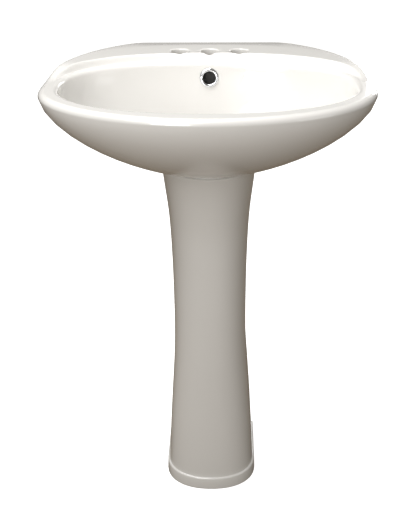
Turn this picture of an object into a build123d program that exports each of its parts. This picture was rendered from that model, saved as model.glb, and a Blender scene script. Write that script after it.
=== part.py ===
"""Pedestal sink: a vitreous china basin with three tap holes, standing on a hollow china pedestal,
with its overflow ring, push-open waste and P-trap.

Frame: millimetres, +Z up from the floor, +Y towards the wall, +X to the right as seen from the front.
The origin is on the floor, under the middle of the basin.
"""

import os
from math import cos, pi, sin

from build123d import *

# ---------------------------------------------------------------- driving dimensions
WIDTH = 520.0  # basin, side to side
DEPTH = 410.0  # basin, front to wall
WALL_Y = DEPTH / 2  # plane of the finished wall
RIM_Z = 800.0  # top of the rolled rim
DECK_Z = 811.0  # tap ledge
EQUATOR_Z = 790.0  # widest level of the basin
LANDING_Z = 662.0  # level at which the basin stands on the pedestal
CHINA = 13.0  # thickness of the ware

OUTLET_Y = 12.0  # waste outlet, ahead of the wall by WALL_Y - OUTLET_Y
OUTLET_R = 22.5
BOWL_FLOOR_Z = 674.0
SEAT_DEPTH = 3.0  # recess for the waste flange
BOSS_Z = 640.0  # underside of the outlet boss
OVERFLOW_Z = 775.0
OVERFLOW_TILT = 17.0  # the back of the bowl leans back by this much at the overflow

TAP_PITCH = 50.8  # three tap holes on 4 inch centres
TAP_R = 15.5
TAP_Y = WALL_Y - 67.0
WALL_BOLT_SPACING = 200.0
WALL_BOLT_R = 6.5
WALL_BOLT_Z = 752.0
FLOOR_SCREW_R = 5.0
FLOOR_SCREW_Y = 92.0

TUBE_R = 16.0  # 1 1/4 inch waste tube
TRAP_R = 19.0  # trap bends, over the tube
TRAP_ARM_Z = 505.0  # waste outlet in the wall
TRAP_SPREAD = 76.0  # between the two legs of the trap

STOPPER_TRAVEL = 9.0
FIT = 0.3  # gap left between pieces that move past each other

os.makedirs("parts", exist_ok=True)


def finish(part, label):
    """Name one piece and write it."""
    part.label = label
    export_step(part, f"parts/{label}.step")
    print(f"{label:20s} valid={part.is_valid} volume={part.volume:12.1f} solids={len(part.solids())}")


# ---------------------------------------------------------------- outlines of the ware
SECTION_POINTS = 40


def power_curve(share, power):
    """Height of the curve x^p + y^p = 1 at x = share."""
    return max(0.0, 1.0 - min(1.0, max(0.0, share)) ** power) ** (1.0 / power)


def oval(half_width, front, back, middle_y, front_power=2.0, back_power=2.2):
    """Points round a closed egg, widest at middle_y, squarer where the power is over 2."""
    points = []
    for i in range(SECTION_POINTS):
        angle = 2 * pi * i / SECTION_POINTS
        c, s = cos(angle), sin(angle)
        power = back_power if s > 0 else front_power
        reach = back if s > 0 else front
        x = half_width * abs(c) ** (2 / power) * (1 if c > 0 else -1)
        y = middle_y + reach * abs(s) ** (2 / power) * (1 if s > 0 else -1)
        points.append((x, y))
    return points


def outline_face(points, z):
    """A flat face inside a smooth closed outline at height z."""
    with BuildSketch(Plane.XY.offset(z)) as outline:
        with BuildLine():
            Spline(*points, periodic=True)
        make_face()
    return outline.sketch.face()


def lofted(section, levels):
    """A solid lofted through the closed outlines that section gives at each level."""
    with BuildPart() as solid:
        loft(sections=[outline_face(section(z), z) for z in levels])
    return solid.part


# ---------------------------------------------------------------- basin: outside
MIDDLE_Y = WALL_Y - 245.0  # widest line
FRONT_REACH = MIDDLE_Y + WALL_Y
BACK_REACH = 278.0  # runs on behind the wall plane, where it is cut off flat
BELLY_DROP = 134.0
RIM_ROLL = 10.0


def belly_section(z, inset=0.0):
    """Outside of the basin at height z, smaller all round by inset."""
    if z > EQUATOR_Z:
        roll = RIM_ROLL * (1 - power_curve((z - EQUATOR_Z) / (RIM_Z - EQUATOR_Z), 2.0)) + inset
        return oval(WIDTH / 2 - roll, FRONT_REACH - roll, BACK_REACH - roll, MIDDLE_Y)
    drop = (EQUATOR_Z - z) / BELLY_DROP
    side, front, back = power_curve(drop, 1.58), power_curve(drop, 1.7), power_curve(drop, 2.6)
    middle = MIDDLE_Y + 10.0 * (1 - side)
    return oval(WIDTH / 2 * side - inset, FRONT_REACH * front - inset, BACK_REACH * back - inset, middle)


# ---------------------------------------------------------------- basin: bowl
BOWL_HALF = 229.0
BOWL_REACH = 136.0  # forward and backward of the bowl's middle
BOWL_MIDDLE_Y = MIDDLE_Y + 8.0
BOWL_EDGE_Z = RIM_Z - 9.0
BOWL_ROLL = 8.0
FLOOR_R = 36.0


def bowl_section(z, grow=0.0):
    """Inside of the bowl at height z, larger all round by grow."""
    depth = min(1.0, max(0.0, (BOWL_EDGE_Z - z) / (BOWL_EDGE_Z - BOWL_FLOOR_Z + grow)))
    side, front, back = power_curve(depth, 1.87), power_curve(depth, 2.4), power_curve(depth, 1.6)
    roll = BOWL_ROLL * max(0.0, (z - BOWL_EDGE_Z) / (RIM_Z - BOWL_EDGE_Z)) ** 2
    return oval(
        FLOOR_R + (BOWL_HALF - FLOOR_R) * side + roll + grow,
        FLOOR_R + (BOWL_REACH - FLOOR_R) * front + roll + grow,
        FLOOR_R + (BOWL_REACH - FLOOR_R) * back + roll + grow,
        OUTLET_Y + (BOWL_MIDDLE_Y - OUTLET_Y) * (1 - depth**3),
        2.0 + 0.2 * side,
        2.0 + 0.4 * side,
    )


def bowl_shape(grow, top):
    """The bowl as a solid, larger all round by grow and cut off at height top."""
    floor = BOWL_FLOOR_Z - grow
    steps = (0, 16, 32, 46, 60, 74, 87)
    levels = [BOWL_EDGE_Z - (BOWL_EDGE_Z - floor) * sin(step * pi / 180) for step in steps]
    with BuildPart() as shape:
        add(lofted(lambda z: bowl_section(z, grow), levels[::-1]))
        if top > BOWL_EDGE_Z:
            add(lofted(lambda z: bowl_section(z, grow), [BOWL_EDGE_Z, BOWL_EDGE_Z + (top - BOWL_EDGE_Z) / 2, top]))
    return shape.part


# ---------------------------------------------------------------- basin: tap ledge
LEDGE_HALF = 249.0
LEDGE_REACH = 154.0
LEDGE_END_Y = -5.0
RAMP_Y = 75.0  # ahead of here the ledge dies away into the rim

with BuildPart() as ledge:
    add(lofted(lambda z: belly_section(RIM_Z - 0.5), [EQUATOR_Z - 6, DECK_Z]))
    add(
        lofted(lambda z: oval(LEDGE_HALF, LEDGE_REACH, LEDGE_REACH, BOWL_MIDDLE_Y, 2.2, 2.4), [700, 850]),
        mode=Mode.SUBTRACT,
    )
    with BuildSketch(Plane.YZ.offset(-WIDTH / 2)):
        with BuildLine():
            Polyline(
                (WALL_Y, EQUATOR_Z - 6),
                (WALL_Y, DECK_Z),
                (RAMP_Y, DECK_Z),
                (LEDGE_END_Y, RIM_Z - 1),
                (LEDGE_END_Y, EQUATOR_Z - 6),
                close=True,
            )
        make_face()
    extrude(amount=WIDTH, mode=Mode.INTERSECT)
    fillet(ledge.edges().group_by(Axis.Z)[-1].filter_by(GeomType.BSPLINE), radius=4.0)

# ---------------------------------------------------------------- basin
BELLY_LEVELS = [EQUATOR_Z - BELLY_DROP * sin(step * pi / 180) for step in (72.5, 60, 48, 36, 24, 12, 0)]
ROLL_LEVELS = [EQUATOR_Z + (RIM_Z - EQUATOR_Z) * sin(step * pi / 180) for step in (0, 30, 60, 86)]
OVERFLOW_AXIS = Plane(
    origin=(0, BOWL_MIDDLE_Y + 132.0, OVERFLOW_Z),
    x_dir=(1, 0, 0),
    z_dir=(0, -cos(OVERFLOW_TILT * pi / 180), sin(OVERFLOW_TILT * pi / 180)),
)


def d_outline(half_width, front_y, back_y, middle_y=30.0):
    """Edges of a D: round at the front, straight sides, flat at the back."""
    front = [(half_width, middle_y)]
    for i in range(1, 8):
        angle = pi / 2 * (1 - i / 4)
        x = half_width * abs(sin(angle)) ** 0.9 * (1 if angle > 0 else -1)
        y = middle_y - (middle_y - front_y) * abs(cos(angle)) ** 0.9
        front.append((0.0 if i == 4 else x, y))
    front.append((-half_width, middle_y))
    Spline(*front, tangents=[(0, -1), (0, 1)])
    Polyline((-half_width, middle_y), (-half_width, back_y), (half_width, back_y), (half_width, middle_y))


# side view of the overflow channel, and of the keel of china round it: Y, Z
CHANNEL = [(12, 650), (72, 650), (88, 672), (99, 696), (107, 726), (114, 756), (117, 784)]
CHANNEL += [(110, 784), (103, 758), (94, 730), (85, 703), (76, 682), (66, 664), (12, 664)]
KEEL = [(30, 640), (78, 640), (98, 666), (110, 692), (116, 722), (118, 754), (119, 797), (60, 797), (30, 690)]


def slab(outline, thickness):
    """A flat piece of the given side view, centred on the YZ plane."""
    with BuildPart() as piece:
        with BuildSketch(Plane.YZ):
            with BuildLine():
                Polyline(*outline, close=True)
            make_face()
        extrude(amount=thickness / 2, both=True)
    return piece.part


with BuildPart() as basin:
    add(lofted(belly_section, BELLY_LEVELS))
    add(lofted(belly_section, ROLL_LEVELS))
    split(bisect_by=Plane.XZ.offset(-WALL_Y), keep=Keep.TOP)
    add(ledge.part)
    # flat landing that stands on the pedestal
    with BuildSketch(Plane.XY.offset(LANDING_Z)):
        with BuildLine():
            d_outline(78.0, -76.0, 100.0)
        make_face()
    extrude(amount=24)
    split(bisect_by=Plane.XY.offset(LANDING_Z), keep=Keep.TOP)
    # hollow behind the bowl, open below so that the tap nuts can be reached
    with BuildSketch(Plane.XY.offset(BOSS_Z - 20)):
        with Locations((0, WALL_Y - CHINA - 75)):
            Rectangle(330, 150)
        with BuildLine():
            Spline(*oval(BOWL_HALF + 18, BOWL_REACH + 18, BOWL_REACH + 18, BOWL_MIDDLE_Y, 2.2, 2.4), periodic=True)
        make_face(mode=Mode.SUBTRACT)
    extrude(amount=DECK_Z - CHINA - BOSS_Z + 20, mode=Mode.SUBTRACT)
    # outlet boss, and the keel that carries the overflow channel down to it
    with BuildSketch(Plane.XY.offset(BOSS_Z)):
        with Locations((0, OUTLET_Y)):
            Circle(42)
    extrude(amount=BOWL_FLOOR_Z - BOSS_Z - 2)
    add(slab(KEEL, 56))
    add(bowl_shape(0.0, RIM_Z + 0.5), mode=Mode.SUBTRACT)
    add(slab(CHANNEL, 32), mode=Mode.SUBTRACT)
    # outlet with its seat
    with BuildSketch(Plane.XY.offset(BOSS_Z)):
        with Locations((0, OUTLET_Y)):
            Circle(OUTLET_R)
    extrude(amount=60, mode=Mode.SUBTRACT)
    with BuildSketch(Plane.XY.offset(BOWL_FLOOR_Z - SEAT_DEPTH)):
        with Locations((0, OUTLET_Y)):
            Circle(33)
    extrude(amount=10, mode=Mode.SUBTRACT)
    # overflow hole and the flat that its ring sits on
    with BuildSketch(OVERFLOW_AXIS):
        Circle(12)
    extrude(amount=-14, mode=Mode.SUBTRACT)
    with BuildSketch(OVERFLOW_AXIS.offset(-1.5)):
        Circle(16.4)
    extrude(amount=20, mode=Mode.SUBTRACT)
    # tap holes
    with BuildSketch(Plane.XY.offset(DECK_Z - 40)):
        with Locations((0, TAP_Y)):
            with GridLocations(TAP_PITCH, 0, 3, 1):
                Circle(TAP_R)
    extrude(amount=60, mode=Mode.SUBTRACT)
    chamfer(basin.edges().filter_by(GeomType.CIRCLE).group_by(Axis.Z)[-1], length=1.2)
    # wall bolt holes
    with BuildSketch(Plane.XZ.offset(-WALL_Y - 5)):
        with GridLocations(WALL_BOLT_SPACING, 0, 2, 1):
            with Locations((0, WALL_BOLT_Z)):
                Circle(WALL_BOLT_R)
    extrude(amount=CHINA + 20, mode=Mode.SUBTRACT)
finish(basin.part, "basin")


# ---------------------------------------------------------------- pedestal
PEDESTAL_TOP = LANDING_Z
BAND_Z = 27.0  # height of the raised band round the foot
# height, half width, front, back
PEDESTAL_LEVELS = [
    (BAND_Z - 2, 82.5, -39, 139),
    (60, 80.5, -40, 137),
    (126, 77.0, -41, 131),
    (202, 72.0, -42, 125),
    (275, 67.2, -44, 120),
    (344, 65.0, -46, 117),
    (444, 65.2, -50, 115),
    (507, 66.6, -54, 115),
    (553, 68.6, -58, 115),
    (583, 71.0, -63, 115),
    (612, 74.4, -68, 115),
    (640, 77.5, -74, 115),
    (PEDESTAL_TOP, 79.5, -79, 115),
]


def d_face(z, half_width, front_y, back_y):
    """A flat D-shaped face at height z."""
    with BuildSketch(Plane.XY.offset(z)) as outline:
        with BuildLine():
            d_outline(half_width, front_y, back_y)
        make_face()
    return outline.sketch.face()


with BuildPart() as pedestal:
    loft(sections=[d_face(*level) for level in PEDESTAL_LEVELS])
    band = [d_face(0, 86.0, -42, 142), d_face(BAND_Z - 5, 86.0, -42, 142), d_face(BAND_Z, 83.5, -40, 140)]
    loft(sections=band, ruled=True)
    hollow = [(z, w - CHINA, f + CHINA, b + 40) for z, w, f, b in PEDESTAL_LEVELS]
    hollow[-1] = (PEDESTAL_TOP + 1, *hollow[-1][1:])
    hollow[0] = (-1.0, *hollow[0][1:])
    loft(sections=[d_face(*level) for level in hollow], mode=Mode.SUBTRACT)
    # tie across the foot, with the floor screw hole
    with BuildSketch():
        with Locations((0, FLOOR_SCREW_Y)):
            Rectangle(150, 40)
    extrude(amount=14)
    with BuildSketch():
        with Locations((0, FLOOR_SCREW_Y)):
            Circle(FLOOR_SCREW_R)
    extrude(amount=20, mode=Mode.SUBTRACT)
finish(pedestal.part, "pedestal")


# ---------------------------------------------------------------- overflow ring
with BuildPart() as overflow_ring:
    with BuildSketch(OVERFLOW_AXIS.offset(-1.5)):
        Circle(16)
        Circle(10.3, mode=Mode.SUBTRACT)
    extrude(amount=3.5)
    fillet(overflow_ring.edges().sort_by(Axis.Y)[:1], radius=1.2)
    with BuildSketch(OVERFLOW_AXIS.offset(-1.5)):
        Circle(11.7)
        Circle(10.3, mode=Mode.SUBTRACT)
    extrude(amount=-10)
finish(overflow_ring.part, "overflow_ring")


# ---------------------------------------------------------------- waste: helpers
def tube(name, outer, inner, low, high, middle_y=OUTLET_Y):
    """A plain round tube standing on the outlet's axis."""
    with BuildPart() as piece:
        with BuildSketch(Plane.XY.offset(low)):
            with Locations((0, middle_y)):
                Circle(outer)
                if inner:
                    Circle(inner, mode=Mode.SUBTRACT)
        extrude(amount=high - low)
    return piece.part


def slip_nut(low, bore, middle_y, flats=22.0, height=20.0):
    """A ribbed hand nut: a sleeve with eight lugs and a turned-in lip below its top."""
    with BuildPart() as piece:
        with BuildSketch(Plane.XY.offset(low)):
            with Locations((0, middle_y)):
                Circle(flats + 1.5)
                with PolarLocations(flats + 1.0, 8):
                    Rectangle(6, 8)
                Circle(bore, mode=Mode.SUBTRACT)
        extrude(amount=height)
        chamfer(piece.edges().filter_by(GeomType.CIRCLE).group_by(Axis.Z)[-1].sort_by(SortBy.RADIUS)[-1:], 0.6)
    return piece.part


# ---------------------------------------------------------------- waste body
FLANGE_R = 32.0
BODY_R = 21.0
BODY_BORE = 17.0
BODY_LOW = 580.0
SEAT_Z = BOWL_FLOOR_Z - SEAT_DEPTH
FLANGE_LOW = SEAT_Z + 1.5  # the gasket lies under it

with BuildPart() as drain_body:
    with BuildSketch(Plane.YZ):
        with BuildLine():
            Polyline(
                (OUTLET_Y + BODY_BORE, BODY_LOW),
                (OUTLET_Y + BODY_R, BODY_LOW),
                (OUTLET_Y + BODY_R, FLANGE_LOW),
                (OUTLET_Y + FLANGE_R, FLANGE_LOW),
                (OUTLET_Y + FLANGE_R, FLANGE_LOW + 1.0),
                (OUTLET_Y + FLANGE_R - 2.0, FLANGE_LOW + 2.6),
                (OUTLET_Y + 23.5, FLANGE_LOW + 2.6),
                (OUTLET_Y + 19.5, FLANGE_LOW - 1.5),
                (OUTLET_Y + BODY_BORE, FLANGE_LOW - 4.0),
                close=True,
            )
        make_face()
    revolve(axis=Axis((0, OUTLET_Y, 0), (0, 0, 1)))
    # two windows that take the overflow water
    with BuildSketch(Plane.XY.offset(649)):
        with Locations((0, OUTLET_Y)):
            Rectangle(12, 60)
    extrude(amount=13, mode=Mode.SUBTRACT)
    # spider that carries the stopper cartridge
    with BuildSketch(Plane.XY.offset(628)):
        with Locations((0, OUTLET_Y)):
            Rectangle(2 * BODY_BORE + 1, 4)
            Rectangle(4, 2 * BODY_BORE + 1)
            Circle(9)
            Circle(6.5, mode=Mode.SUBTRACT)
    extrude(amount=5)
    # grooves of the thread, as plain rings
    with BuildSketch(Plane.YZ):
        with GridLocations(0, 3.0, 1, 14):
            with Locations((OUTLET_Y + BODY_R, 604.0)):
                Rectangle(1.2, 1.4)
    revolve(axis=Axis((0, OUTLET_Y, 0), (0, 0, 1)), mode=Mode.SUBTRACT)
finish(drain_body.part, "drain_body")

finish(tube("flange_gasket", FLANGE_R - 0.5, BODY_R, SEAT_Z, FLANGE_LOW), "flange_gasket")

with BuildPart() as boss_gasket:
    with BuildSketch(Plane.YZ):
        with BuildLine():
            Polyline(
                (OUTLET_Y + BODY_R, BOSS_Z),
                (OUTLET_Y + 33, BOSS_Z),
                (OUTLET_Y + 30, BOSS_Z - 8),
                (OUTLET_Y + BODY_R, BOSS_Z - 8),
                close=True,
            )
        make_face()
    revolve(axis=Axis((0, OUTLET_Y, 0), (0, 0, 1)))
finish(boss_gasket.part, "boss_gasket")
finish(tube("boss_washer", 32.0, BODY_R, BOSS_Z - 10, BOSS_Z - 8), "boss_washer")

with BuildPart() as drain_locknut:
    with BuildSketch(Plane.XY.offset(BOSS_Z - 20)):
        with Locations((0, OUTLET_Y)):
            RegularPolygon(28.0, 6, major_radius=False)
            Circle(BODY_R, mode=Mode.SUBTRACT)
    extrude(amount=10)
    chamfer(drain_locknut.edges().filter_by(GeomType.LINE).group_by(Axis.Z)[0], length=0.8)
finish(drain_locknut.part, "drain_locknut")

# ---------------------------------------------------------------- stopper
CAP_R = 20.5
CAP_LOW = FLANGE_LOW + 3.6

with BuildPart() as stopper_cap:
    with BuildSketch(Plane.YZ):
        with BuildLine():
            Polyline(
                (OUTLET_Y, CAP_LOW),
                (OUTLET_Y + CAP_R - 2, CAP_LOW),
                (OUTLET_Y + CAP_R, CAP_LOW + 1.2),
                (OUTLET_Y + CAP_R - 0.8, CAP_LOW + 2.4),
                (OUTLET_Y + CAP_R - 6.0, CAP_LOW + 3.8),
                (OUTLET_Y + CAP_R - 13.0, CAP_LOW + 4.7),
                (OUTLET_Y, CAP_LOW + 5.0),
                close=True,
            )
        make_face()
    revolve(axis=Axis((0, OUTLET_Y, 0), (0, 0, 1)))
finish(stopper_cap.part, "stopper_cap")

finish(tube("stopper_seal", 16.0, 5.0, CAP_LOW - 3.0, CAP_LOW), "stopper_seal")
finish(tube("stopper_stem", 5.0, 0, 634, CAP_LOW), "stopper_stem")

with BuildPart() as stopper_cartridge:
    with BuildSketch(Plane.XY.offset(615)):
        with Locations((0, OUTLET_Y)):
            Circle(6.5)
    extrude(amount=42)
    with BuildSketch(Plane.XY.offset(633)):
        with Locations((0, OUTLET_Y)):
            Circle(8.5)
    extrude(amount=24)
    with BuildSketch(Plane.XY.offset(633.7)):
        with Locations((0, OUTLET_Y)):
            Circle(5.05)
    extrude(amount=30, mode=Mode.SUBTRACT)
finish(stopper_cartridge.part, "stopper_cartridge")

# ---------------------------------------------------------------- tailpiece
TAIL_LOW = 470.0
with BuildPart() as tailpiece:
    with BuildSketch(Plane.XY.offset(TAIL_LOW)):
        with Locations((0, OUTLET_Y)):
            Circle(TUBE_R)
            Circle(TUBE_R - 1.5, mode=Mode.SUBTRACT)
    extrude(amount=BODY_LOW + 12 - TAIL_LOW)
    with BuildSketch(Plane.XY.offset(BODY_LOW - 3)):
        with Locations((0, OUTLET_Y)):
            Circle(BODY_R)
            Circle(TUBE_R - 1.5, mode=Mode.SUBTRACT)
    extrude(amount=3)
    with BuildSketch(Plane.XY.offset(BODY_LOW)):
        with Locations((0, OUTLET_Y)):
            Circle(BODY_BORE)
            Circle(TUBE_R - 1.5, mode=Mode.SUBTRACT)
    extrude(amount=12)
finish(tailpiece.part, "tailpiece")

# ---------------------------------------------------------------- P-trap
TRAP_TOP = 512.0  # open end of the bend's inlet leg
TRAP_LOW = 425.0  # height at which the legs turn into the bend
OUT_Y = OUTLET_Y + TRAP_SPREAD
OUT_TOP = 458.0
WALL_THICK = 2.2

with BuildPart() as j_bend:
    with BuildLine(Plane.YZ):
        Line((OUTLET_Y, TRAP_TOP), (OUTLET_Y, TRAP_LOW))
        ThreePointArc(
            (OUTLET_Y, TRAP_LOW),
            (OUTLET_Y + TRAP_SPREAD / 2, TRAP_LOW - TRAP_SPREAD / 2),
            (OUT_Y, TRAP_LOW),
        )
        Line((OUT_Y, TRAP_LOW), (OUT_Y, OUT_TOP))
    with BuildSketch(Plane.XY.offset(TRAP_TOP)):
        with Locations((0, OUTLET_Y)):
            Circle(TRAP_R)
            Circle(TRAP_R - WALL_THICK, mode=Mode.SUBTRACT)
    sweep()
    # beads behind which the nuts pull up
    with BuildSketch(Plane.XY.offset(TRAP_TOP - 18)):
        with Locations((0, OUTLET_Y)):
            Circle(TRAP_R + 2)
            Circle(TRAP_R - 1, mode=Mode.SUBTRACT)
    extrude(amount=18)
    with BuildSketch(Plane.XY.offset(OUT_TOP - 16)):
        with Locations((0, OUT_Y)):
            Circle(TRAP_R + 2)
            Circle(TRAP_R - 1, mode=Mode.SUBTRACT)
    extrude(amount=16)
finish(j_bend.part, "j_bend")

finish(tube("trap_inlet_washer", TRAP_R + 1.5, TUBE_R, TRAP_TOP, TRAP_TOP + 4), "trap_inlet_washer")
with BuildPart() as trap_inlet_nut:
    add(slip_nut(TRAP_TOP - 12, TRAP_R + 2, OUTLET_Y))
    with BuildSketch(Plane.XY.offset(TRAP_TOP + 4)):
        with Locations((0, OUTLET_Y)):
            Circle(TRAP_R + 2.5)
            Circle(TUBE_R + FIT, mode=Mode.SUBTRACT)
    extrude(amount=4)
finish(trap_inlet_nut.part, "trap_inlet_nut")

with BuildPart() as trap_arm:
    with BuildLine(Plane.YZ):
        Line((OUT_Y, OUT_TOP + 3), (OUT_Y, TRAP_ARM_Z - 34))
        ThreePointArc(
            (OUT_Y, TRAP_ARM_Z - 34),
            (OUT_Y + 34 * (1 - cos(pi / 4)), TRAP_ARM_Z - 34 * (1 - sin(pi / 4))),
            (OUT_Y + 34, TRAP_ARM_Z),
        )
        Line((OUT_Y + 34, TRAP_ARM_Z), (WALL_Y, TRAP_ARM_Z))
    with BuildSketch(Plane.XY.offset(OUT_TOP + 3)):
        with Locations((0, OUT_Y)):
            Circle(TUBE_R)
            Circle(TUBE_R - 1.5, mode=Mode.SUBTRACT)
    sweep()
    with BuildSketch(Plane.XY.offset(OUT_TOP + 3)):
        with Locations((0, OUT_Y)):
            Circle(TRAP_R + 1.5)
            Circle(TUBE_R - 1, mode=Mode.SUBTRACT)
    extrude(amount=3)
finish(trap_arm.part, "trap_arm")

finish(tube("union_washer", TRAP_R + 1.5, TUBE_R - 1.5, OUT_TOP, OUT_TOP + 3, OUT_Y), "union_washer")
with BuildPart() as union_nut:
    add(slip_nut(OUT_TOP - 12, TRAP_R + 2, OUT_Y))
    with BuildSketch(Plane.XY.offset(OUT_TOP + 6)):
        with Locations((0, OUT_Y)):
            Circle(TRAP_R + 2.5)
            Circle(TUBE_R + FIT, mode=Mode.SUBTRACT)
    extrude(amount=2)
finish(union_nut.part, "union_nut")

with BuildPart() as cleanout_plug:
    with BuildSketch(Plane.XY.offset(TRAP_LOW - TRAP_SPREAD / 2 - TRAP_R - 9)):
        with Locations((0, OUTLET_Y + TRAP_SPREAD / 2)):
            RegularPolygon(9.0, 6, major_radius=False)
    extrude(amount=7)
    with BuildSketch(Plane.XY.offset(TRAP_LOW - TRAP_SPREAD / 2 - TRAP_R - 2)):
        with Locations((0, OUTLET_Y + TRAP_SPREAD / 2)):
            Circle(8.5)
    extrude(amount=3)
    add(j_bend.part, mode=Mode.SUBTRACT)
finish(cleanout_plug.part, "cleanout_plug")

with BuildPart() as wall_escutcheon:
    with BuildSketch(Plane.YZ):
        with BuildLine():
            Polyline(
                (WALL_Y, TRAP_ARM_Z + TUBE_R + FIT),
                (WALL_Y - 14, TRAP_ARM_Z + TUBE_R + FIT),
                (WALL_Y - 14, TRAP_ARM_Z + TUBE_R + 1.8),
                (WALL_Y - 10, TRAP_ARM_Z + 21),
                (WALL_Y - 7, TRAP_ARM_Z + 30),
                (WALL_Y - 2, TRAP_ARM_Z + 37),
                (WALL_Y, TRAP_ARM_Z + 38),
                close=True,
            )
        make_face()
    revolve(axis=Axis((0, 0, TRAP_ARM_Z), (0, 1, 0)))
finish(wall_escutcheon.part, "wall_escutcheon")
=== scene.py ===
"""Pedestal sink in white vitreous china, with its overflow ring, push-open waste and P-trap."""

from math import atan2, cos, pi, radians, sin

import bmesh
import bpy
from mathutils import Matrix, Vector


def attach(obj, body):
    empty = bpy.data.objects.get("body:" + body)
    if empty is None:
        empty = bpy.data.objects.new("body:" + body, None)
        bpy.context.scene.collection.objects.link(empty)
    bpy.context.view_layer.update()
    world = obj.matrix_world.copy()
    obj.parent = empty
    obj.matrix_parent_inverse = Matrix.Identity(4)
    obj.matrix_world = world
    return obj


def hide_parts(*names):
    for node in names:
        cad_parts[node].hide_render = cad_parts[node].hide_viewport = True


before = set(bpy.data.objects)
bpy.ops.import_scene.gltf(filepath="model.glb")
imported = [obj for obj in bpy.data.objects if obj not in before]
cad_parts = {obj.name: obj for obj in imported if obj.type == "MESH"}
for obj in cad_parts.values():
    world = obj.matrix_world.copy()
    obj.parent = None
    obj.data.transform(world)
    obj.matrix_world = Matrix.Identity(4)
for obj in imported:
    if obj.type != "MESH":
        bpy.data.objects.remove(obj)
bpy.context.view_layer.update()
FIXTURE, STOPPER = "fixture", "stopper"

# ------------------------------------------------------------------ camera
# The view is from standing height, a little to the right of the middle, looking down into the bowl.
# The eye is placed from the tap row; the lens and its shift are for a frame of 402 by 517.
MM = 0.001
TAP_ROW_Y = 138.0
VIEW_BACK = 1497.9  # from the tap row to the eye, along the floor
VIEW_HIGH = 1177.6
VIEW_DOWN = 27.6
VIEW_TURN = 1.2
VIEW_ROLL = 0.4
FRAME_TALL = 517.0
SENSOR_TALL = 24.0
FOCAL = 878.0  # in units of the frame

turned = radians(VIEW_TURN)
eye_y = TAP_ROW_Y - cos(turned) * VIEW_BACK
eye = Vector((sin(turned) * VIEW_BACK, eye_y, VIEW_HIGH)) * MM
lens = bpy.data.cameras.new("camera")
lens.sensor_fit = "VERTICAL"
lens.sensor_height = SENSOR_TALL
lens.lens = FOCAL / FRAME_TALL * SENSOR_TALL
lens.shift_x = -10.0 / FRAME_TALL
lens.shift_y = 8.9 / FRAME_TALL
camera = bpy.data.objects.new("camera", lens)
bpy.context.scene.collection.objects.link(camera)
camera.location = eye
tilt = Matrix.Rotation(turned, 3, "Z") @ Matrix.Rotation(radians(90 - VIEW_DOWN), 3, "X")
camera.rotation_euler = (tilt @ Matrix.Rotation(radians(-VIEW_ROLL), 3, "Z")).to_euler()
bpy.context.scene.camera = camera
bpy.context.scene.view_settings.view_transform = "Standard"

# ------------------------------------------------------------------ studio
# A plain white floor, a large soft light overhead, a smaller key in front of it, and three soft fills.
# The eye sees the floor and the air white; the china sees them dimmer, so its underside keeps its shade.
floor_mesh = bpy.data.meshes.new("floor")
bm = bmesh.new()
bmesh.ops.create_grid(bm, x_segments=2, y_segments=2, size=9.0)
bm.to_mesh(floor_mesh)
bm.free()
floor = bpy.data.objects.new("floor", floor_mesh)
bpy.context.scene.collection.objects.link(floor)
floor_paint = bpy.data.materials.new("floor_paint")
floor_paint.use_nodes = True
nodes, link = floor_paint.node_tree.nodes, floor_paint.node_tree.links.new
paint = nodes["Principled BSDF"]
paint.inputs["Roughness"].default_value = 0.9
paint.inputs["Specular IOR Level"].default_value = 0.1


def seen_as(nodes, link, to_china, to_eye, socket):
    """Feeds the socket one tone for the camera and another for every other ray; returns the switch."""
    path, tone = nodes.new("ShaderNodeLightPath"), nodes.new("ShaderNodeMix")
    tone.data_type = "RGBA"
    tone.inputs["A"].default_value = (*to_china, 1)
    tone.inputs["B"].default_value = (*to_eye, 1)
    link(path.outputs["Is Camera Ray"], tone.inputs["Factor"])
    link(tone.outputs["Result"], socket)
    return path.outputs["Is Camera Ray"]


by_eye = seen_as(nodes, link, (0.19, 0.155, 0.115), (0.97, 0.97, 0.97), paint.inputs["Base Color"])
paint.inputs["Emission Color"].default_value = (1, 1, 1, 1)
glow = nodes.new("ShaderNodeMath")
glow.operation = "MULTIPLY"
glow.inputs[1].default_value = 0.8
link(by_eye, glow.inputs[0])
link(glow.outputs["Value"], paint.inputs["Emission Strength"])
floor_mesh.materials.append(floor_paint)

world = bpy.data.worlds.new("studio")
bpy.context.scene.world = world
world.use_nodes = True
nodes, link = world.node_tree.nodes, world.node_tree.links.new
seen_as(nodes, link, (0.26, 0.25, 0.235), (1.0, 1.0, 1.0), nodes["Background"].inputs["Color"])
nodes["Background"].inputs["Strength"].default_value = 1.0


def softbox(name, place, aim, size, watts):
    """A square area light at place that faces aim."""
    lamp = bpy.data.lights.new(name, "AREA")
    lamp.shape = "SQUARE"
    lamp.size = size
    lamp.energy = watts
    holder = bpy.data.objects.new(name, lamp)
    bpy.context.scene.collection.objects.link(holder)
    holder.location = place
    holder.rotation_euler = (Vector(aim) - Vector(place)).to_track_quat("-Z", "Y").to_euler()


softbox("overhead", (-0.5, 0.1, 2.5), (0, 0, 0.8), 1.6, 37)
softbox("key", (-0.6, -1.3, 2.1), (0, 0, 0.7), 1.1, 12)
softbox("front_fill", (-0.75, -2.4, 1.35), (0, 0, 0.2), 0.8, 19)
softbox("right_fill", (2.3, -1.6, 0.9), (0, 0, 0.4), 1.2, 6)
softbox("back_fill", (1.3, 2.7, 1.2), (0, 0, 0.4), 1.2, 16)

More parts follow.
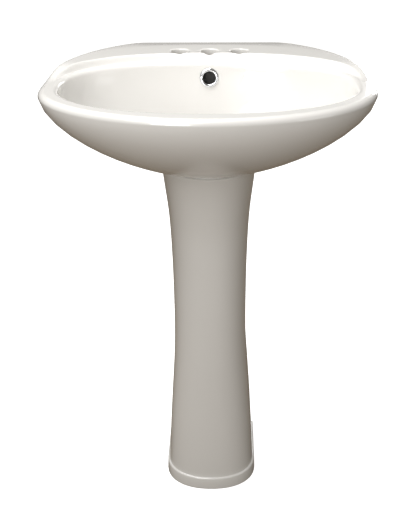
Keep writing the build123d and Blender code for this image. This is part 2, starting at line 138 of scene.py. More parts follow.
# ------------------------------------------------------------------ basin
# One casting of vitreous china, glazed all over: bowl, rolled rim and a raised ledge for the taps.
# The outside and the bowl are one skin of rings, from the outlet's underside up over the rim and down.
RING = 160  # points round each ring
WALL_Y = 205.0
RIM_Z, DECK_Z, EQUATOR_Z, LANDING_Z = 800.0, 811.0, 790.0, 662.0
OUTLET_Y, FLOOR_Z, BOSS_Z = 12.0, 674.0, 640.0
MIDDLE_Y, BOWL_MIDDLE_Y = -40.0, -32.0
BELLY_DROP = 134.0


def curve(share, power):
    """Height of x^p + y^p = 1 at x = share."""
    return max(0.0, 1.0 - min(1.0, max(0.0, share)) ** power) ** (1.0 / power)


def smooth(x, low, high):
    """0 below low, 1 above high, and a soft S between."""
    t = min(1.0, max(0.0, (x - low) / (high - low)))
    return t * t * (3 - 2 * t)


def egg(angle, half, front, back, middle, front_power=2.0, back_power=2.2):
    """A point on an egg outline at one angle: X, Y in millimetres."""
    c, s = cos(angle), sin(angle)
    power, reach = (back_power, back) if s > 0 else (front_power, front)
    x = half * abs(c) ** (2 / power) * (1 if c > 0 else -1)
    y = middle + reach * abs(s) ** (2 / power) * (1 if s > 0 else -1)
    return x, y


def held_back(y, limit, soft=7.0):
    """y, kept behind the flat of the wall at limit with a small rounded corner."""
    if y > limit + soft:
        return limit
    if y < limit - soft:
        return y
    return limit - (limit + soft - y) ** 2 / (4 * soft)


def belly(angle, z, inset=0.0):
    """Outside of the basin below its widest line."""
    drop = (EQUATOR_Z - z) / BELLY_DROP
    side, front, back = curve(drop, 1.58), curve(drop, 1.7), curve(drop, 2.6)
    middle = MIDDLE_Y + 10 * (1 - side)
    x, y = egg(angle, 260 * side - inset, 165 * front - inset, 278 * back - inset, middle)
    return x, held_back(y, WALL_Y)


def bowl_wall(angle, z, grow=0.0):
    """Inside of the bowl at height z."""
    depth = min(1.0, max(0.0, (791.0 - z) / (791.0 - FLOOR_Z + grow)))
    side, front, back = curve(depth, 1.87), curve(depth, 2.4), curve(depth, 1.6)
    middle = OUTLET_Y + (BOWL_MIDDLE_Y - OUTLET_Y) * (1 - depth**3)
    return egg(
        angle,
        36 + 193 * side + grow,
        36 + 100 * front + grow,
        36 + 100 * back + grow,
        middle,
        2 + 0.2 * side,
        2 + 0.4 * side,
    )


def ledge_rise(y, from_bowl):
    """Height of the tap ledge over the rim: steps up behind the bowl, and dies away along the sides."""
    return (DECK_Z - RIM_Z) * smooth(from_bowl, 4.0, 14.0) * smooth(y, -12.0, 62.0)


def landing(angle, z, grow=0.0):
    """The D-shaped pad that stands on the pedestal, the same at every z."""
    return egg(angle, 77 + grow, 106 + grow, 72 + grow, 30.0, 2.0, 5.0)


def ring(bm, place, count=RING):
    """One closed ring of edges: place gives X, Y, Z for each angle."""
    verts = bmesh.ops.create_circle(bm, cap_ends=False, segments=count, radius=1.0)["verts"]
    for v in verts:
        v.co = place(atan2(v.co.y, v.co.x))
    return list({e for v in verts for e in v.link_edges})


def skin(bm, places, closed=False, count=RING):
    """Joins rings one after another into a skin; closed joins the last to the first."""
    loops = [ring(bm, place, count) for place in places]
    for low, high in zip(loops, loops[1:]):
        bmesh.ops.bridge_loops(bm, edges=low + high)
    if closed:
        bmesh.ops.bridge_loops(bm, edges=loops[-1] + loops[0])
    return loops


def round_ring(radius, z, middle=OUTLET_Y):
    """A place function for a true circle about the outlet's axis."""
    return lambda a: (radius * cos(a), middle + radius * sin(a), z)


def flat_ring(outline, z, *values):
    """A place function for an outline at one height."""
    return lambda a: (*outline(a, z, *values), z)


def made(name, bm, finish=None, sharp=38.0):
    """Turns a bmesh in millimetres into an object in metres with its finish and its soft and sharp edges."""
    bmesh.ops.recalc_face_normals(bm, faces=bm.faces)
    bmesh.ops.scale(bm, vec=(MM, MM, MM), verts=bm.verts)
    mesh = bpy.data.meshes.new(name)
    bm.to_mesh(mesh)
    bm.free()
    mesh.polygons.foreach_set("use_smooth", [True] * len(mesh.polygons))
    mesh.set_sharp_from_angle(angle=radians(sharp))
    if finish:
        mesh.materials.append(finish)
    piece = bpy.data.objects.new(name, mesh)
    bpy.context.scene.collection.objects.link(piece)
    return piece


def carved(piece, tools, operation="DIFFERENCE", sharp=38.0):
    """Cuts the tools out of the piece, or adds them, and throws the tools away."""
    for tool in tools:
        cut = piece.modifiers.new("carve", "BOOLEAN")
        cut.operation = operation
        cut.solver = "EXACT"
        cut.material_mode = "TRANSFER"
        cut.object = tool
    bpy.context.view_layer.update()
    graph = bpy.context.evaluated_depsgraph_get()
    result = bpy.data.meshes.new_from_object(piece.evaluated_get(graph))
    piece.modifiers.clear()
    piece.data = result
    result.polygons.foreach_set("use_smooth", [True] * len(result.polygons))
    result.set_sharp_from_angle(angle=radians(sharp))
    for tool in tools:
        bpy.data.objects.remove(tool)
    return piece


def mottle_group():
    """Shared surface effect: slow blotches of a second colour, uneven roughness and fine relief."""
    group = bpy.data.node_groups.new("mottle", "ShaderNodeTree")
    sockets = (
        ("Color", "NodeSocketColor", (0.8, 0.8, 0.8, 1)),
        ("Second Color", "NodeSocketColor", (0.7, 0.7, 0.7, 1)),
        ("Blotch Scale", "NodeSocketFloat", 9.0),
        ("Grain Scale", "NodeSocketFloat", 400.0),
        ("Smoothest", "NodeSocketFloat", 0.1),
        ("Roughest", "NodeSocketFloat", 0.3),
    )
    for label, kind, value in sockets:
        group.interface.new_socket(label, in_out="INPUT", socket_type=kind).default_value = value
    results = (("Color", "NodeSocketColor"), ("Roughness", "NodeSocketFloat"), ("Height", "NodeSocketFloat"))
    for label, kind in results:
        group.interface.new_socket(label, in_out="OUTPUT", socket_type=kind)
    nodes, link = group.nodes, group.links.new
    given, out = nodes.new("NodeGroupInput"), nodes.new("NodeGroupOutput")
    place = nodes.new("ShaderNodeTexCoord")
    blotch, grain, specks = (nodes.new("ShaderNodeTexNoise") for _ in range(3))
    for noise, detail, rough in ((blotch, 4.0, 0.55), (grain, 3.0, 0.6), (specks, 2.0, 0.5)):
        noise.inputs["Detail"].default_value = detail
        noise.inputs["Roughness"].default_value = rough
        link(place.outputs["Object"], noise.inputs["Vector"])
    link(given.outputs["Blotch Scale"], blotch.inputs["Scale"])
    link(given.outputs["Grain Scale"], grain.inputs["Scale"])
    specks.inputs["Scale"].default_value = 70.0
    spread = nodes.new("ShaderNodeMapRange")
    spread.inputs["From Min"].default_value, spread.inputs["From Max"].default_value = 0.36, 0.66
    link(blotch.outputs["Fac"], spread.inputs["Value"])
    mix = nodes.new("ShaderNodeMix")
    mix.data_type = "RGBA"
    link(spread.outputs["Result"], mix.inputs["Factor"])
    link(given.outputs["Color"], mix.inputs["A"])
    link(given.outputs["Second Color"], mix.inputs["B"])
    link(mix.outputs["Result"], out.inputs["Color"])
    dull = nodes.new("ShaderNodeMapRange")
    dull.inputs["From Min"].default_value, dull.inputs["From Max"].default_value = 0.3, 0.75
    link(specks.outputs["Fac"], dull.inputs["Value"])
    link(given.outputs["Smoothest"], dull.inputs["To Min"])
    link(given.outputs["Roughest"], dull.inputs["To Max"])
    link(dull.outputs["Result"], out.inputs["Roughness"])
    link(grain.outputs["Fac"], out.inputs["Height"])
    return group


MOTTLE = mottle_group()


def finish(name, color, second, blotch, grain, smoothest, roughest, relief, **shader):
    """A Principled material whose colour, roughness and relief come from the mottle group."""
    material = bpy.data.materials.new(name)
    material.use_nodes = True
    nodes, link = material.node_tree.nodes, material.node_tree.links.new
    body = nodes["Principled BSDF"]
    effect = nodes.new("ShaderNodeGroup")
    effect.node_tree = MOTTLE
    effect.inputs["Color"].default_value = (*color, 1)
    effect.inputs["Second Color"].default_value = (*second, 1)
    effect.inputs["Blotch Scale"].default_value = blotch
    effect.inputs["Grain Scale"].default_value = grain
    effect.inputs["Smoothest"].default_value = smoothest
    effect.inputs["Roughest"].default_value = roughest
    bump = nodes.new("ShaderNodeBump")
    bump.inputs["Strength"].default_value = 1.0
    bump.inputs["Distance"].default_value = relief
    link(effect.outputs["Color"], body.inputs["Base Color"])
    link(effect.outputs["Roughness"], body.inputs["Roughness"])
    link(effect.outputs["Height"], bump.inputs["Height"])
    link(bump.outputs["Normal"], body.inputs["Normal"])
    for socket, value in shader.items():
        body.inputs[socket.replace("_", " ")].default_value = value
    return material


CHINA = finish(
    "glazed_china", (0.82, 0.805, 0.775), (0.814, 0.799, 0.768), 1.5, 8.0, 0.24, 0.27, 0.00002,
    Coat_Weight=1.0, Coat_Roughness=0.03, Coat_IOR=1.5, Specular_IOR_Level=0.5,
)
BISQUE = finish("raw_bisque", (0.62, 0.57, 0.49), (0.52, 0.47, 0.40), 14.0, 900.0, 0.75, 0.95, 0.00015)
# Painted shade: a near-black colour for the inside of the overflow channel, standing in for the shade deep
# in the hole.
CHANNEL_SHADE = finish(
    "overflow_channel_shade", (0.035, 0.033, 0.03), (0.02, 0.02, 0.018), 30.0, 500.0, 0.5, 0.8, 0.0002
)

# up from the outlet's underside, over the boss and the landing, to the widest line
rings = [round_ring(22.5, BOSS_Z + 1.0), round_ring(23.3, BOSS_Z), round_ring(40.5, BOSS_Z)]
rings += [round_ring(42.0, BOSS_Z + 1.5), round_ring(42.0, LANDING_Z - 1.0)]
for rise, grow in ((0.0, -18.0), (0.0, -1.5), (0.5, -0.4), (2.0, 0.0), (6.0, 0.5)):
    rings.append(flat_ring(landing, LANDING_Z + rise, grow))
for step in (60.5, 57.5, 54, 50, 45.5, 40.5, 35, 29, 22.5, 15, 7.5, 0):
    rings.append(flat_ring(belly, EQUATOR_Z - BELLY_DROP * sin(radians(step))))


def rim_ring(turn):
    """The rolled outer edge, a quarter turn from the widest line up to the top."""

    def place(a):
        inset = 10 * (1 - cos(radians(turn)))
        x, y = egg(a, 260 - inset, 165 - inset, 278 - inset, MIDDLE_Y)
        y = held_back(y, WALL_Y - 0.5 * inset)
        rise = 10 + ledge_rise(y, 20.0)
        return x, y, EQUATOR_Z + rise * sin(radians(turn))

    return place


def top_ring(number, of):
    """A ring across the flat of the rim and the ledge, from the outer roll (0) in to the bowl's edge."""
    gaps = (0.0, 1.5, 3.0, 4.5, 6.0, 7.5, 9.0, 10.5, 12.0, 14.0, 18.0, 28.0, 45.0, 65.0)
    count = len(gaps)

    def place(a):
        ox, oy = egg(a, 250, 155, 268, MIDDLE_Y)
        oy = held_back(oy, WALL_Y - 5.0)
        ix, iy = egg(a, 237, 144, 144, BOWL_MIDDLE_Y, 2.2, 2.4)
        width = max(1.0, ((ox - ix) ** 2 + (oy - iy) ** 2) ** 0.5)
        k = of - number
        gap = min(gaps[k], width * k / of) if k < count else width * k / of
        share = gap / width
        x, y = ix + (ox - ix) * share, iy + (oy - iy) * share
        return x, y, RIM_Z + ledge_rise(y, gap if width > 22 else gap * 22 / width)

    return place


def lip_ring(turn):
    """The rounded edge of the bowl, down from the top of the rim."""
    edge = 8 * (1 - sin(radians(turn)))

    def place(a):
        x, y = egg(a, 229 + edge, 136 + edge, 136 + edge, BOWL_MIDDLE_Y, 2.2, 2.4)
        return x, y, 791 + 9 * cos(radians(turn))

    return place


rings += [rim_ring(turn) for turn in (12, 26, 40, 54, 67, 79, 90)]
rings += [top_ring(number, 14) for number in range(1, 15)]
rings += [lip_ring(turn) for turn in (22, 45, 68)]
# down the bowl, and into the outlet's seat
for step in (1, 6, 12, 18, 24, 30, 36, 42, 48, 54, 60, 66, 72, 78, 84, 88.5):
    rings.append(flat_ring(bowl_wall, 791.0 - 117.0 * sin(radians(step))))
rings += [round_ring(34.2, 673.95), round_ring(33.2, 673.3), round_ring(33.0, 672.5)]
rings += [round_ring(33.0, 671.4), round_ring(32.5, 671.0), round_ring(23.5, 671.0), round_ring(22.6, 670.2)]
bm = bmesh.new()
skin(bm, rings, closed=True)
basin = made("basin_china", bm, CHINA)


def lathe(profile, steps=64, axis=Matrix.Identity(4), closed=False):
    """A spun bmesh: profile is radius, height in millimetres, turned about the axis matrix's Z."""
    bm = bmesh.new()
    verts = [bm.verts.new((r, 0.0, z)) for r, z in profile]
    for a, b in zip(verts, verts[1:] + verts[:1] if closed else verts[1:]):
        bm.edges.new((a, b))
    line = bm.verts[:] + bm.edges[:]
    bmesh.ops.spin(
        bm, geom=line, axis=(0, 0, 1), cent=(0, 0, 0), angle=2 * pi, steps=steps, use_merge=True
    )
    bmesh.ops.remove_doubles(bm, verts=bm.verts, dist=0.0005)
    bmesh.ops.recalc_face_normals(bm, faces=bm.faces)
    bmesh.ops.transform(bm, matrix=axis, verts=bm.verts)
    return bm


def block(low, high):
    """A plain box between two corners, in millimetres."""
    bm = bmesh.new()
    size = [h - l for l, h in zip(low, high)]
    bmesh.ops.create_cube(bm, size=1.0)
    bmesh.ops.scale(bm, vec=size, verts=bm.verts)
    bmesh.ops.translate(bm, vec=[(h + l) / 2 for l, h in zip(low, high)], verts=bm.verts)
    return bm


def slab(outline, thick):
    """An upright plate of the given side view (Y, Z), centred on X = 0."""
    bm = bmesh.new()
    face = bm.faces.new([bm.verts.new((-thick / 2, y, z)) for y, z in outline])
    grown = bmesh.ops.extrude_face_region(bm, geom=[face])["geom"]
    far = [g for g in grown if isinstance(g, bmesh.types.BMVert)]
    bmesh.ops.translate(bm, vec=(thick, 0, 0), verts=far)
    bmesh.ops.recalc_face_normals(bm, faces=bm.faces)
    return bm


def capped(places):
    """A solid of rings with both ends closed."""
    bm = bmesh.new()
    loops = skin(bm, places)
    bmesh.ops.edgeloop_fill(bm, edges=loops[0])
    bmesh.ops.edgeloop_fill(bm, edges=loops[-1])
    return bm


# hollow behind the bowl, open below so that a hand reaches the tap nuts
hollow = made("hollow", block((-165, 42, 600), (165, 192, 798)), BISQUE)
around = [lambda a, z=z: (*egg(a, 247, 154, 154, BOWL_MIDDLE_Y, 2.2, 2.4), z) for z in (560, 840)]
carved(hollow, [made("kept", capped(around), BISQUE)])
carved(basin, [hollow])
# keel of china that carries the overflow channel down to the outlet
keel_side = [(30, 640), (78, 640), (98, 666), (110, 692), (116, 722), (118, 754), (119, 797.5)]
keel_side += [(60, 797.5), (30, 690)]
keel = made("keel", slab(keel_side, 56), BISQUE)
inner = [lambda a: (*bowl_wall(a, 791.0, 6.0), 830.0)]
for step in (0, 15, 30, 45, 60, 75, 88):
    inner.append(flat_ring(bowl_wall, 791.0 - 123.0 * sin(radians(step)), 6.0))
carved(keel, [made("bowl_core", capped(inner), BISQUE)])
carved(basin, [keel], "UNION")
channel_side = [(12, 650), (72, 650), (88, 672), (99, 696), (107, 726), (114, 756), (117, 784)]
channel_side += [(110, 784), (103, 758), (94, 730), (85, 703), (76, 682), (66, 664), (12, 664)]
# the overflow's axis leans back with the wall of the bowl
OVERFLOW = Matrix.Translation((0, 100.0, 775.0)) @ Matrix.Rotation(radians(90 - 17), 4, "X")
# the channel's cut faces take the near-black painted shade
tools = [made("channel", slab(channel_side, 32), CHANNEL_SHADE)]
seat = [(0, -14), (12, -14), (12, -2.2), (12.7, -1.5), (16.4, -1.5), (16.4, 20), (0, 20)]
tools.append(made("overflow_bore", lathe(seat, axis=OVERFLOW), CHINA))
# three tap holes, with the glaze rounding over their edges, and the two holes for the wall bolts
TAP_PITCH, TAP_R, LIP = 50.8, 15.5, 2.2
for x in (-TAP_PITCH, 0.0, TAP_PITCH):
    lip = [(0, 770), (TAP_R, 770), (TAP_R, 808.9)]
    for turn in (18, 36, 54, 72, 90):
        over = radians(turn)
        lip.append((TAP_R + LIP * (1 - cos(over)), 808.95 + LIP * sin(over)))
    lip += [(TAP_R + LIP, 815), (0, 815)]
    tools.append(made("tap_hole", lathe(lip, 48, Matrix.Translation((x, TAP_ROW_Y, 0))), CHINA))
BOLT_X, BOLT_Z, BOLT_R = 100.0, 752.0, 6.5
for x in (-BOLT_X, BOLT_X):
    across = Matrix.Translation((x, WALL_Y, BOLT_Z)) @ Matrix.Rotation(radians(90), 4, "X")
    bolt = [(0, -8), (BOLT_R, -8), (BOLT_R, 20), (0, 20)]
    tools.append(made("wall_bolt_hole", lathe(bolt, 32, across), BISQUE))
carved(basin, tools)
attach(basin, FIXTURE)
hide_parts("basin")

# ------------------------------------------------------------------ overflow ring
# Pressed brass, chromed: a domed collar over the overflow hole with a short sleeve that grips inside it.
CHROME = finish(
    "chrome_plate", (0.80, 0.81, 0.83), (0.72, 0.73, 0.75), 40.0, 600.0, 0.05, 0.13, 0.000004, Metallic=1.0
)


def fitted(piece, node, body=FIXTURE):
    """Puts a piece on the body it rides on and hides the CAD node it stands for."""
    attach(piece, body)
    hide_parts(node)
    return piece


collar = [(10.3, -11.5), (11.7, -11.5), (11.7, -1.5), (15.6, -1.5), (16.0, -1.1), (16.0, 0.1), (15.7, 0.8)]
collar += [(15.0, 1.45), (13.9, 1.9), (12.9, 2.0), (11.8, 1.75), (10.9, 1.1), (10.4, 0.2), (10.3, -0.8)]
collar = made("overflow_collar", lathe(collar, 96, OVERFLOW, closed=True), CHROME, 50)
fitted(collar, "overflow_ring")

# ------------------------------------------------------------------ waste body
# Chromed brass: a dished flange in the outlet's seat, a threaded body with two windows for the overflow
# water, and a small spider that holds the stopper's cartridge.
OUTLET = Matrix.Translation((0, OUTLET_Y, 0))
flange = [(17.0, 668.5), (17.4, 669.6), (19.5, 671.0), (22.0, 673.6), (23.6, 674.8), (25.0, 675.1)]
flange += [(28.5, 675.1), (30.2, 674.9), (31.4, 674.3), (32.0, 673.3), (32.0, 672.6), (31.6, 672.5)]
flange += [(21.0, 672.5)]
thread = []
for number in range(22):
    low = 648.0 - number * 3.0
    thread += [(21.0, low), (21.0, low - 1.0), (20.4, low - 1.7), (20.4, low - 2.1)]
thread += [(21.0, 580.6), (20.5, 580.0), (17.0, 580.0)]
waste = made("waste_body", lathe(flange + thread, 72, OUTLET, True), CHROME)
carved(waste, [made("window", block((-6, -40, 649), (6, 60, 662)), CHROME)])
bm = lathe([(6.5, 628), (9, 628), (9, 633), (6.5, 633)], 48, OUTLET, closed=True)
for turn in (0, 90, 180, 270):
    arm = block((8, -2, 628), (17.4, 2, 633))
    bmesh.ops.rotate(arm, cent=(0, 0, 0), matrix=Matrix.Rotation(radians(turn), 3, "Z"), verts=arm.verts)
    bmesh.ops.translate(arm, vec=(0, OUTLET_Y, 0), verts=arm.verts)
    spoke = bpy.data.meshes.new("spoke")
    arm.to_mesh(spoke)
    arm.free()
    bm.from_mesh(spoke)
    bpy.data.meshes.remove(spoke)
spider = made("waste_spider", bm, CHROME)
fitted(waste, "drain_body")
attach(spider, FIXTURE)

# ------------------------------------------------------------------ waste seals and locknut
# Black rubber seals above and below the boss, a slippery plastic washer, and the brass locknut.
RUBBER = finish("black_rubber", (0.028, 0.028, 0.03), (0.05, 0.05, 0.05), 60.0, 1500.0, 0.55, 0.75, 0.00008)
PLASTIC = finish("white_plastic", (0.78, 0.78, 0.75), (0.72, 0.72, 0.68), 30.0, 900.0, 0.35, 0.5, 0.00003)
BRASS = finish(
    "dull_brass", (0.66, 0.46, 0.20), (0.40, 0.27, 0.12), 55.0, 700.0, 0.22, 0.5, 0.00003, Metallic=1.0
)
washer = [(21.0, 671.0), (31.1, 671.0), (31.5, 671.4), (31.5, 672.1), (31.1, 672.5), (21.0, 672.5)]
fitted(made("flange_seal", lathe(washer, 72, OUTLET, True), RUBBER), "flange_gasket")
cone = [(21.0, 632.0), (29.2, 632.0), (30.2, 632.7), (32.9, 639.0), (32.4, 640.0), (21.0, 640.0)]
fitted(made("boss_seal", lathe(cone, 72, OUTLET, True), RUBBER), "boss_gasket")
slip = [(21.0, 630.0), (31.5, 630.0), (32.0, 630.5), (32.0, 631.5), (31.5, 632.0), (21.0, 632.0)]
fitted(made("slip_washer", lathe(slip, 72, OUTLET, True), PLASTIC), "boss_washer")


def hexagon(flats, round_to):
    """Radius at an angle of a hexagon across half its flats, its corners turned down to round_to."""
    return lambda a: min(round_to, flats / cos((a + pi / 6) % (pi / 3) - pi / 6))


def stack(levels, middle=OUTLET_Y, count=96, closed=True):
    """Rings of varying radius: each level gives a radius, or a function of angle, and a height."""
    bm = bmesh.new()
    places = []
    for radius, z in levels:
        reach = radius if callable(radius) else (lambda a, r=radius: r)
        places.append(lambda a, reach=reach, z=z: (reach(a) * cos(a), middle + reach(a) * sin(a), z))
    loops = skin(bm, places, closed, count)
    if not closed:
        bmesh.ops.edgeloop_fill(bm, edges=loops[0])
        bmesh.ops.edgeloop_fill(bm, edges=loops[-1])
    return bm


six_sided = hexagon(28, 31.9)
nut = [(21.0, 620.0), (27.6, 620.0), (six_sided, 621.2), (six_sided, 628.8), (27.6, 630.0), (21.0, 630.0)]
fitted(made("waste_locknut", stack(nut), BRASS, 25), "drain_locknut")

# ------------------------------------------------------------------ stopper
# A chromed button with a rubber seal on a brass stem. It is pressed to open and close, and slides in a
# plastic cartridge screwed into the spider.
button = [(0, 680.9), (8.0, 680.8), (14.0, 680.1), (18.0, 679.0), (19.9, 677.9), (20.5, 676.9)]
button += [(20.4, 676.4), (19.6, 676.1), (0, 676.1)]
fitted(made("stopper_button", lathe(button, 96, OUTLET), CHROME), "stopper_cap", STOPPER)
seal = [(5.0, 673.1), (13.5, 673.1), (15.6, 673.9), (16.0, 675.0), (15.4, 676.1), (5.0, 676.1)]
fitted(made("stopper_ring", lathe(seal, 72, OUTLET, True), RUBBER), "stopper_seal", STOPPER)
stem = [(0, 634.0), (4.4, 634.0), (5.0, 634.6), (5.0, 676.1), (0, 676.1)]
fitted(made("stopper_pin", lathe(stem, 32, OUTLET), BRASS), "stopper_stem", STOPPER)
barrel = [(5.05, 657.0), (8.2, 657.0), (8.5, 656.6), (8.5, 652.5), (8.0, 652.0), (8.0, 636.0), (8.5, 635.5)]
barrel += [(8.5, 633.0), (6.5, 633.0), (6.5, 615.5), (6.0, 615.0), (0, 615.0), (0, 633.7), (5.05, 633.7)]
fitted(made("stopper_barrel", lathe(barrel, 48, OUTLET), PLASTIC), "stopper_cartridge")

# ------------------------------------------------------------------ pedestal
# A second casting of china: a hollow column, open at the back, waisted in the middle, with a raised band
# round the foot and a tie across the back of the foot for the floor screw. Only its outside is glazed.
COLUMN = [  # height, half width, front, back
    (0, 83.5, -38.5, 140),
    (25, 82.5, -39, 139),
    (60, 80.5, -40, 137),
    (126, 77.0, -41, 131),
    (202, 72.0, -42, 125),
    (275, 67.2, -44, 120),
    (344, 65.0, -46, 117),
    (444, 65.2, -50, 115),
    (507, 66.6, -54, 115),
    (553, 68.6, -58, 115),
    (583, 71.0, -63, 115),
    (612, 74.4, -68, 115),
    (640, 77.5, -74, 115),
    (662, 79.5, -79, 115),
]
WALL = 13.0


def column_size(z):
    """Half width, front and back of the column at height z, eased between the levels."""
    index = max(k for k in range(len(COLUMN) - 1) if z >= COLUMN[k][0] or k == 0)
    rows = [COLUMN[max(0, min(len(COLUMN) - 1, index + k))] for k in (-1, 0, 1, 2)]
    t = (z - rows[1][0]) / (rows[2][0] - rows[1][0])
    span = rows[2][0] - rows[1][0]
    sizes = []
    for k in (1, 2, 3):
        before = (rows[2][k] - rows[0][k]) / max(1.0, rows[2][0] - rows[0][0]) * span
        after = (rows[3][k] - rows[1][k]) / max(1.0, rows[3][0] - rows[1][0]) * span
        h1, h2 = 2 * t**3 - 3 * t**2 + 1, t**3 - 2 * t**2 + t
        h3, h4 = -2 * t**3 + 3 * t**2, t**3 - t**2
        sizes.append(h1 * rows[1][k] + h2 * before + h3 * rows[2][k] + h4 * after)
    return sizes


def d_path(share, half, front, back):
    """A point on an open D: from the right back edge, round the front, to the left back edge."""
    middle = 30.0
    if share < 0.25:
        return half, back + (middle - back) * share / 0.25
    if share > 0.75:
        return -half, middle + (back - middle) * (share - 0.75) / 0.25
    turn = pi / 2 * (1 - (share - 0.25) / 0.25)
    x = half * abs(sin(turn)) ** 0.9 * (1 if turn > 0 else -1)
    return x, middle - (middle - front) * abs(cos(turn)) ** 0.9


def column_ring(z, grow=0.0):
    """The closed outline of the column's wall at height z, thicker outside by grow."""
    half, front, back = column_size(z)

    def place(a):
        u = a / (2 * pi) % 1.0
        if u < 0.52:
            x, y = d_path(u / 0.52, half + grow, front - grow, back + grow * 0.6)
        elif u < 0.56:
            turn = (u - 0.52) / 0.04
            x = -(half + grow) + (WALL + grow) * (1 - cos(pi * turn)) / 2
            y = back + 3.0 * sin(pi * turn)
        elif u < 0.96:
            x, y = d_path(1 - (u - 0.56) / 0.40, half - WALL, front + WALL, back)
        else:
            turn = (u - 0.96) / 0.04
            x = half - WALL + (WALL + grow) * (1 - cos(pi * turn)) / 2
            y = back + 3.0 * sin(pi * turn)
        return x, y, z

    return place


# height, and how far the wall stands out there: the foot's band, the plain column, its eased top edge
levels = [(0, 2.6), (0.8, 3.3), (2.5, 3.5), (12, 3.5), (23.5, 3.5), (25.2, 3.2), (26.4, 2.4)]
levels += [(27.0, 1.2), (27.5, 0.3), (29, 0.0), (36, 0.0)] + [(z, 0.0) for z in range(50, 640, 15)]
levels += [(646, 0.0), (655, 0.0), (660, 0.0), (661.4, -0.3), (662, -1.2)]
bm = capped([column_ring(z, grow) for z, grow in levels])
pedestal = made("pedestal_china", bm, CHINA, 42)
pedestal.data.materials.append(BISQUE)
for face in pedestal.data.polygons:  # the faces inside the wall are left unglazed
    x, y, z = face.center / MM
    half, front, back = column_size(min(LANDING_Z, max(0, z)))
    reach = ((x / half) ** 2 + (min(0.0, y - 30) / (30 - front)) ** 2) ** 0.5
    if reach < 1 - 8 / half and abs(face.normal.z) < 0.7:
        face.material_index = 1
tie = made("tie", block((-75, 72, 0.3), (75, 112, 14)), BISQUE)
screw = lathe([(0, -5), (5, -5), (5, 30), (0, 30)], 32, Matrix.Translation((0, 92, 0)))
carved(tie, [made("screw_hole", screw, BISQUE)])
carved(pedestal, [tie], "UNION", 42)
fitted(pedestal, "pedestal")

# ------------------------------------------------------------------ tailpiece and trap
# Chromed brass tube: the tailpiece screws up into the waste body and slips into the trap's bend. The bend
# holds the water seal, and the arm carries the water to the wall. Ribbed nuts squeeze rubber washers.
tail = [(14.5, 592), (16.6, 592), (17.0, 591.6), (17.0, 580), (21.0, 580), (21.0, 577.4)]
tail += [(20.6, 577), (16.2, 577), (16.0, 576.8), (16.0, 470.4), (15.6, 470), (14.9, 470), (14.5, 470.4)]
fitted(made("tail_tube", lathe(tail, 72, OUTLET, True), CHROME), "tailpiece")


def pipe(stations, outer, inner):
    """A tube through stations of Y, Z and heading, in degrees from straight up, in the plane X = 0."""
    bm = bmesh.new()
    places = []

    def across(radius, y, z, heading):
        lean = radians(heading)
        return lambda a: (
            radius * cos(a), y + radius * sin(a) * cos(lean), z - radius * sin(a) * sin(lean)
        )

    for radius, run in ((outer, stations), (inner, stations[::-1])):
        places += [across(radius, *station) for station in run]
    skin(bm, places, True, 48)
    return bm


BEND_R, BEND_TUBE_R, ELBOW_R = 38.0, 19.0, 34.0
OUT_Y, TRAP_LOW = OUTLET_Y + 2 * BEND_R, 425.0
stations = [(OUTLET_Y, 512, 180), (OUTLET_Y, 511, 180), (OUTLET_Y, 496, 180), (OUTLET_Y, TRAP_LOW, 180)]
for turn in range(10, 180, 10):
    y, z = OUTLET_Y + BEND_R * (1 - cos(radians(turn))), TRAP_LOW - BEND_R * sin(radians(turn))
    stations.append((y, z, 180 - turn))
stations += [(OUT_Y, TRAP_LOW, 0), (OUT_Y, 445, 0), (OUT_Y, 457, 0), (OUT_Y, 458, 0)]
bend = made("trap_bend", pipe(stations, BEND_TUBE_R, 16.8), CHROME)
fitted(bend, "j_bend")


def lobed(radius, lug):
    """Radius at an angle of a nut with eight rounded lugs."""
    return lambda a: radius + lug * smooth(cos(8 * a), -0.1, 0.75)


def hand_nut(name, node, low, height, top_bore, middle):
    """A ribbed nut: open below over the tube's bead, turned in above to the smaller tube."""
    ribs = lobed(23.6, 2.3)
    levels = [(21.0, low + 0.6), (21.5, low), (23.4, low), (lobed(23.6, 0.6), low + 0.7)]
    levels += [(ribs, low + 2.0), (ribs, low + height * 0.7), (lobed(23.5, 1.6), low + height * 0.8)]
    levels += [(23.2, low + height * 0.88), (21.8, low + height), (top_bore + 0.5, low + height)]
    levels += [(top_bore, low + height - 0.5), (top_bore, low + height - 3.5), (21.0, low + height - 3.7)]
    return fitted(made(name, stack(levels, middle), CHROME, 50), node)


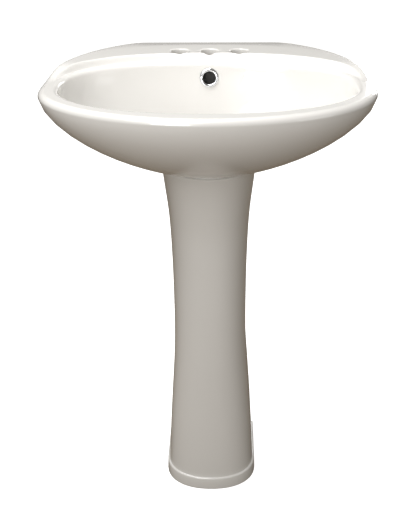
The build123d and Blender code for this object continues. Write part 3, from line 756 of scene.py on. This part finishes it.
hand_nut("bend_inlet_nut", "trap_inlet_nut", 500.0, 20.0, 16.3, OUTLET_Y)
hand_nut("bend_outlet_nut", "union_nut", 446.0, 20.0, 16.3, OUT_Y)
AT_OUT = Matrix.Translation((0, OUT_Y, 0))
soft = [(16.0, 512), (20.0, 512), (20.5, 512.5), (20.5, 514.5), (18.0, 516), (16.0, 516)]
fitted(made("inlet_washer", lathe(soft, 64, OUTLET, True), RUBBER), "trap_inlet_washer")
flat = [(14.5, 458), (20.2, 458), (20.5, 458.4), (20.5, 460.6), (20.2, 461), (14.5, 461)]
fitted(made("outlet_washer", lathe(flat, 64, AT_OUT, True), RUBBER), "union_washer")

ARM_Z = 505.0
stations = [(OUT_Y, 461.0, 0), (OUT_Y, 462.0, 0), (OUT_Y, 470.0, 0)]
for turn in range(0, 91, 9):
    y, z = OUT_Y + ELBOW_R * (1 - cos(radians(turn))), ARM_Z - ELBOW_R * (1 - sin(radians(turn)))
    stations.append((y, z, turn))
stations += [(OUT_Y + 60, ARM_Z, 90), (WALL_Y - 20, ARM_Z, 90), (WALL_Y - 1, ARM_Z, 90), (WALL_Y, ARM_Z, 90)]
fitted(made("wall_arm", pipe(stations, 16.0, 14.5), CHROME), "trap_arm")

BEND_FOOT = TRAP_LOW - BEND_R - BEND_TUBE_R
six_sided = hexagon(9, 10.2)
plug = [(six_sided, BEND_FOOT - 8.4), (six_sided, BEND_FOOT - 2.0), (8.6, BEND_FOOT - 1.9)]
plug = [(8.8, BEND_FOOT - 9.0)] + plug + [(8.5, BEND_FOOT - 1.5), (8.5, BEND_FOOT + 2.0)]
fitted(made("drain_plug", stack(plug, OUTLET_Y + BEND_R, 96, False), BRASS, 25), "cleanout_plug")

# ------------------------------------------------------------------ wall escutcheon
# A spun chrome cover that slides along the arm and hides the hole in the wall.
AT_WALL = Matrix.Translation((0, WALL_Y, ARM_Z)) @ Matrix.Rotation(radians(90), 4, "X")
cover = [(16.3, 0.1), (16.3, 13.6), (16.8, 14), (17.4, 14), (17.9, 13.5), (18.8, 11.6), (21.0, 10.0)]
cover += [(25.0, 8.4), (30.0, 6.6), (34.0, 4.4), (36.6, 2.2), (37.8, 0.5), (37.6, 0.0), (36.5, 0.0)]
cover += [(33.0, 2.9), (29.5, 5.0), (24.5, 6.9), (20.0, 8.6), (18.0, 9.6), (17.6, 0.1)]
fitted(made("wall_cover", lathe(cover, 96, AT_WALL, True), CHROME, 50), "wall_escutcheon")
